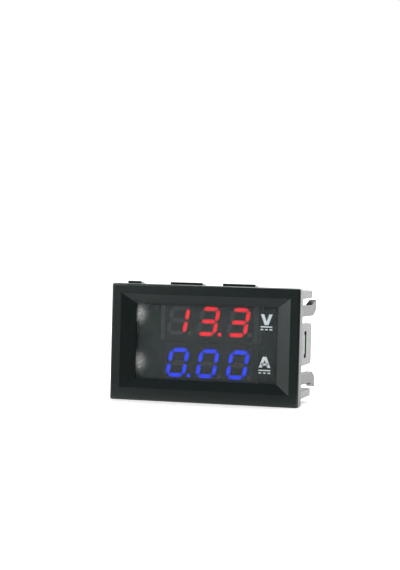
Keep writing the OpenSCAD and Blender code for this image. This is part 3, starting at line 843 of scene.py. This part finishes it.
def trimmer_tracks(routes, vias):
    """A stub below each trimmer, and one above it with a via."""
    for node in TRIMMERS:
        x, bottom, top = middle_of(node)[0], low(node).z, high(node).z
        side = x - 1.2 * MM
        routes.append(([(side, bottom - 0.3 * MM), (side, bottom - 1 * MM)], THIN))
        routes.append(([(x, top + 0.3 * MM), (x, top + 0.95 * MM)], THIN))
        vias.append((x, top + 1 * MM))


def edge_vias(vias):
    """Vias along the board's top and bottom edges."""
    left, top, bottom = low("main_board").x + 1.1 * MM, high("main_board").z, low("main_board").z
    margin = 0.7 * MM
    for k in range(9):
        vias.append((left + (k * 4.7 + 0.8) * MM, top - margin))
        vias.append((left + (k * 4.7 + 2.4) * MM, bottom + margin))


def tracks():
    """Copper tracks between the parts, under the mask, and the vias beside them."""
    rows, routes, vias = display_rows(), [], []
    resistor_tracks(rows, routes)
    chip_tracks(routes, vias)
    pin_tracks(rows, routes, vias)
    supply_tracks(routes)
    shunt_tracks(routes)
    trimmer_tracks(routes, vias)
    edge_vias(vias)
    b = bmesh.new()
    for k, (points, width) in enumerate(routes):
        ribbon(b, points, width, (COPPER[0], COPPER[1] + k % 7 * 0.0004 * MM))
    for x, z in vias:
        ring(b, x, z, BORE, 0.36 * MM, COPPER[0], COPPER[1] + 0.015 * MM, count=16)
    piece("board_tracks", b, "board_copper")
    # Dark discs in the vias' bores: painted shade for the holes, which the board's mesh doesn't have
    b = bmesh.new()
    for x, z in vias:
        prism(b, around(x, z, BORE + 0.005 * MM, 12), BOARD_BACK - SUNK, BOARD_BACK + 0.003 * MM)
    piece("via_hole_shade", b, "resistor_glaze")


def board_print():
    """Outlines printed on the board round the parts, with a bar or dot for polarity. No lettering."""
    b = bmesh.new()
    line = 0.16 * MM
    dot = 0.22 * MM
    gap = 0.35 * MM
    for node in HEADERS:
        lo, hi = low(node), high(node)
        outline = rectangle(lo.x - gap, hi.x + gap, lo.z - gap, hi.z + gap)
        ribbon(b, outline, line, PRINT, closed=True)
    lo, hi = low("microcontroller_body"), high("microcontroller_body")
    for h in (lo.z - gap, hi.z + gap):
        ribbon(b, [(lo.x, h), (hi.x, h)], line, PRINT)
    prism(b, around(hi.x + 0.9 * MM, hi.z + 0.45 * MM, dot, 12), *PRINT)
    lo, hi = low("amplifier_body"), high("amplifier_body")
    for x in (lo.x - gap, hi.x + gap):
        ribbon(b, [(x, lo.z), (x, hi.z)], line, PRINT)
    prism(b, around(hi.x + 0.55 * MM, hi.z + 0.7 * MM, dot, 12), *PRINT)
    lo, hi = low("regulator_body"), high("regulator_body")
    for x in (lo.x - 0.4 * MM, hi.x + 0.4 * MM):
        ribbon(b, [(x, lo.z - 0.1 * MM), (x, hi.z + 0.1 * MM)], line, PRINT)
    for lo, hi in boxes("capacitor_bodies") + [(low("diode_body"), high("diode_body"))]:
        left, right = lo.x - 0.75 * MM, hi.x + 0.75 * MM
        bottom, top = lo.z - 0.4 * MM, hi.z + 0.4 * MM
        for h in (bottom, top):
            ribbon(b, [(left, h), (right, h)], line, PRINT)
        ribbon(b, [(left, bottom), (left, top)], 2.2 * line, PRINT)
    for node in TRIMMERS:
        lo, hi = low(node), high(node)
        for x in (lo.x - gap, hi.x + gap):
            ribbon(b, [(x, lo.z), (x, hi.z)], line, PRINT)
    for node in CHIP_PARTS:
        for lo, hi in boxes(node):
            if hi.x - lo.x > hi.z - lo.z:
                for h in (lo.z - 0.28 * MM, hi.z + 0.28 * MM):
                    ribbon(b, [(lo.x + 0.3 * MM, h), (hi.x - 0.3 * MM, h)], line * 0.8, PRINT)
            else:
                for x in (lo.x - 0.28 * MM, hi.x + 0.28 * MM):
                    ribbon(b, [(x, lo.z + 0.3 * MM), (x, hi.z - 0.3 * MM)], line * 0.8, PRINT)
    lo, hi = low("shunt_solder"), high("shunt_solder")
    for x in (lo.x - 0.55 * MM, hi.x + 0.4 * MM):
        ribbon(b, [(x, lo.z + 2.4 * MM), (x, hi.z - 2.4 * MM)], line, PRINT)
    piece("board_print", b, "board_ink")


tracks()
board_print()


# ---------------------------------------------------------------- legends printed on the lens
INK = 0.03 * MM
V_OUTLINE = ((0, 1), (0.28, 1), (0.5, 0.3), (0.72, 1), (1, 1), (0.66, 0), (0.34, 0))
A_OUTLINE = ((0.34, 1), (0.66, 1), (1, 0), (0.73, 0), (0.5, 0.72), (0.27, 0), (0, 0))


def legend(name, letter, across, upright, bar, dashes, crossbar=False):
    """A unit's letter over the direct-current mark: a bar with three dashes under it.

    The four spans are in millimetres: across and upright hold the letter, and bar and dashes are heights.
    """
    b = bmesh.new()
    (x0, x1), (z0, z1), bar, dashes = ([v * MM for v in span] for span in (across, upright, bar, dashes))
    y0, y1 = LENS_FRONT - INK, LENS_FRONT + INK / 3

    def add(outline):
        prism(b, outline, y0, y1)

    add([(x0 + u * (x1 - x0), z0 + v * (z1 - z0)) for u, v in letter])
    if crossbar:
        w, h = x1 - x0, z1 - z0
        add(rectangle(x0 + 0.22 * w, x1 - 0.22 * w, z0 + 0.2 * h, z0 + 0.4 * h))
    add(rectangle(x0, x1, *bar))
    for k in range(3):
        left = x0 + (x1 - x0) * k * 0.385
        add(rectangle(left, left + (x1 - x0) * 0.23, *dashes))
    piece(name, b, "legend_ink")


legend("legend_volts", V_OUTLINE, (13.68, 16.62), (5.0, 7.62), (4.39, 4.68), (3.72, 4.02))
legend(
    "legend_amps",
    A_OUTLINE,
    (13.42, 16.38),
    (-5.47, -2.8),
    (-6.28, -5.99),
    (-6.94, -6.64),
    crossbar=True,
)


# ---------------------------------------------------------------- softened edges
def soften(node, width, angle=35, segments=2):
    """Rounds a CAD node's sharp edges by modifiers, over its unchanged mesh."""
    obj = nodes[node]
    weld = obj.modifiers.new("weld", "WELD")
    weld.merge_threshold = 0.002 * MM
    flat = obj.modifiers.new("flat", "DECIMATE")
    flat.decimate_type = "DISSOLVE"
    flat.angle_limit = math.radians(0.5)
    bevel = obj.modifiers.new("bevel", "BEVEL")
    bevel.width = width
    bevel.segments = segments
    bevel.limit_method = "ANGLE"
    bevel.angle_limit = math.radians(angle)
    bevel.use_clamp_overlap = True
    bevel.harden_normals = True


soften("housing", 0.12 * MM, segments=3)
soften("window_lens", 0.08 * MM)
soften("main_board", 0.05 * MM)
for name in ("red_display_case", "blue_display_case"):
    soften(name, 0.06 * MM)
for name in ("microcontroller_body", "amplifier_body", "regulator_body", "diode_body", "capacitor_bodies"):
    soften(name, 0.05 * MM, angle=12)
for name in SMALL_LEADS:
    soften(name, 0.025 * MM)
for name in HEADERS:
    soften(name, 0.1 * MM, segments=3)
for name in ("supply_header_pins", "measuring_header_pins"):
    soften(name, 0.14 * MM, segments=3)
for name in ("volts_trimmer_body", "amps_trimmer_body", "volts_trimmer_rotor", "amps_trimmer_rotor"):
    soften(name, 0.06 * MM)
for name in CHIP_PARTS:
    soften(name, 0.04 * MM)


# ---------------------------------------------------------------- studio
def softbox(name, place, size, watts):
    """A square-edged lamp that faces the origin."""
    data = bpy.data.lights.new(name, "AREA")
    data.shape = "RECTANGLE"
    data.size, data.size_y = size
    data.energy = watts
    obj = bpy.data.objects.new(name, data)
    scene.collection.objects.link(obj)
    obj.location = place
    obj.rotation_mode = "QUATERNION"
    obj.rotation_quaternion = (-obj.location).to_track_quat("-Z", "Y")


def camera():
    """In front of the meter, a little to its right and slightly above it."""
    eye = (103.6 * MM, -385.29 * MM, 24.59 * MM)
    yaw, pitch, roll = (math.radians(degrees) for degrees in (15.351, 1.479, 1.4))
    data = bpy.data.cameras.new("camera")
    data.sensor_width = 36
    data.lens = 101.873684
    data.clip_start, data.clip_end = 0.01, 20
    obj = bpy.data.objects.new("camera", data)
    scene.collection.objects.link(obj)
    right = Vector((math.cos(yaw), math.sin(yaw), 0))
    ahead = Vector((-math.sin(yaw) * math.cos(pitch), math.cos(yaw) * math.cos(pitch), -math.sin(pitch)))
    up = right.cross(ahead)
    level, upright = (
        math.cos(roll) * right + math.sin(roll) * up,
        math.cos(roll) * up - math.sin(roll) * right,
    )
    turn = Matrix((level, upright, -ahead)).transposed().to_4x4()
    obj.matrix_world = Matrix.Translation(eye) @ turn
    scene.camera = obj


def world():
    """White to the camera and half as bright to matt faces; gloss sees it bright only behind the meter."""
    made = bpy.data.worlds.new("studio")
    scene.world = made
    made.use_nodes = True
    tree = made.node_tree
    tree.nodes.clear()

    def add(kind, **settings):
        node = tree.nodes.new(kind)
        for key, value in settings.items():
            setattr(node, key, value)
        return node

    path = add("ShaderNodeLightPath")
    backdrop = (-0.5, 0.85, -0.16)
    toward = add("ShaderNodeVectorMath", operation="DOT_PRODUCT")
    tree.links.new(add("ShaderNodeTexCoord").outputs["Generated"], toward.inputs[0])
    toward.inputs[1].default_value = backdrop
    room = add("ShaderNodeMapRange", interpolation_type="SMOOTHSTEP")
    tree.links.new(toward.outputs["Value"], room.inputs[0])
    for i, number in enumerate((-0.1, 0.35, 0.06, 1.0)):
        room.inputs[i + 1].default_value = number
    soft, mirrored, white = (add("ShaderNodeBackground") for _ in range(3))
    soft.inputs[1].default_value = 0.5
    tree.links.new(room.outputs[0], mirrored.inputs[1])
    white.inputs[1].default_value = 1.0
    for shade, tint in ((soft, (1, 1, 1, 1)), (mirrored, (0.94, 1, 0.93, 1)), (white, (1, 1, 1, 1))):
        shade.inputs[0].default_value = tint
    gloss = add("ShaderNodeMixShader")
    tree.links.new(path.outputs["Is Glossy Ray"], gloss.inputs[0])
    tree.links.new(soft.outputs[0], gloss.inputs[1])
    tree.links.new(mirrored.outputs[0], gloss.inputs[2])
    seen = add("ShaderNodeMixShader")
    tree.links.new(path.outputs["Is Camera Ray"], seen.inputs[0])
    tree.links.new(gloss.outputs[0], seen.inputs[1])
    tree.links.new(white.outputs[0], seen.inputs[2])
    tree.links.new(seen.outputs[0], add("ShaderNodeOutputWorld").inputs[0])


def floor():
    """White floor that glows for the camera; gloss sees it glow behind the meter and dark in front."""
    n = Nodes("floor_white")
    path = n.add("ShaderNodeLightPath")
    glossy = path.outputs["Is Glossy Ray"]
    behind = n.ramp(n.axes()[1], -15 * MM, -6 * MM, 0, 1, smooth=True)
    faded = n.maths("MULTIPLY", glossy, n.maths("SUBTRACT", 1.0, behind))
    n.set(
        base_color=n.mix(faded, (0.86, 0.86, 0.86), (0.10, 0.11, 0.11)),
        roughness=0.6,
        specular_ior_level=0.2,
    )
    glow = n.add("ShaderNodeEmission")
    here = n.axes()
    across, along = here[0], here[1]
    square = n.maths("ADD", n.maths("MULTIPLY", across, across), n.maths("MULTIPLY", along, along))
    distant = n.ramp(n.maths("SQRT", square), 0.15, 0.6, 0.42, 0.66, smooth=True)
    seen = n.maths("MULTIPLY", path.outputs["Is Camera Ray"], distant)
    mirrored = n.maths("MULTIPLY", n.maths("MULTIPLY", glossy, behind), 0.42)
    n.put(glow.inputs[1], n.maths("MAXIMUM", seen, mirrored))
    total = n.add("ShaderNodeAddShader")
    n.link(n.shader.outputs[0], total.inputs[0])
    n.link(glow.outputs[0], total.inputs[1])
    n.link(total.outputs[0], n.output.inputs[0])
    mesh = bpy.data.meshes.new("floor")
    size = 3
    z = FLOOR - 0.02 * MM
    corners = [(-size, -size, z), (size, -size, z), (size, size, z), (-size, size, z)]
    mesh.from_pydata(corners, [], [(0, 1, 2, 3)])
    obj = bpy.data.objects.new("floor", mesh)
    scene.collection.objects.link(obj)
    mesh.materials.append(n.material)


camera()
world()
floor()
softbox("key", (-0.42, -0.22, 0.18), (0.3, 0.3), 1.0)
softbox("near", (-0.3, -0.3, 0.1), (0.3, 0.3), 0.5)
softbox("top", (0.1, 0.35, 0.9), (0.8, 0.6), 7)
softbox("rim", (0.45, 0.9, 0.3), (0.9, 0.6), 4)
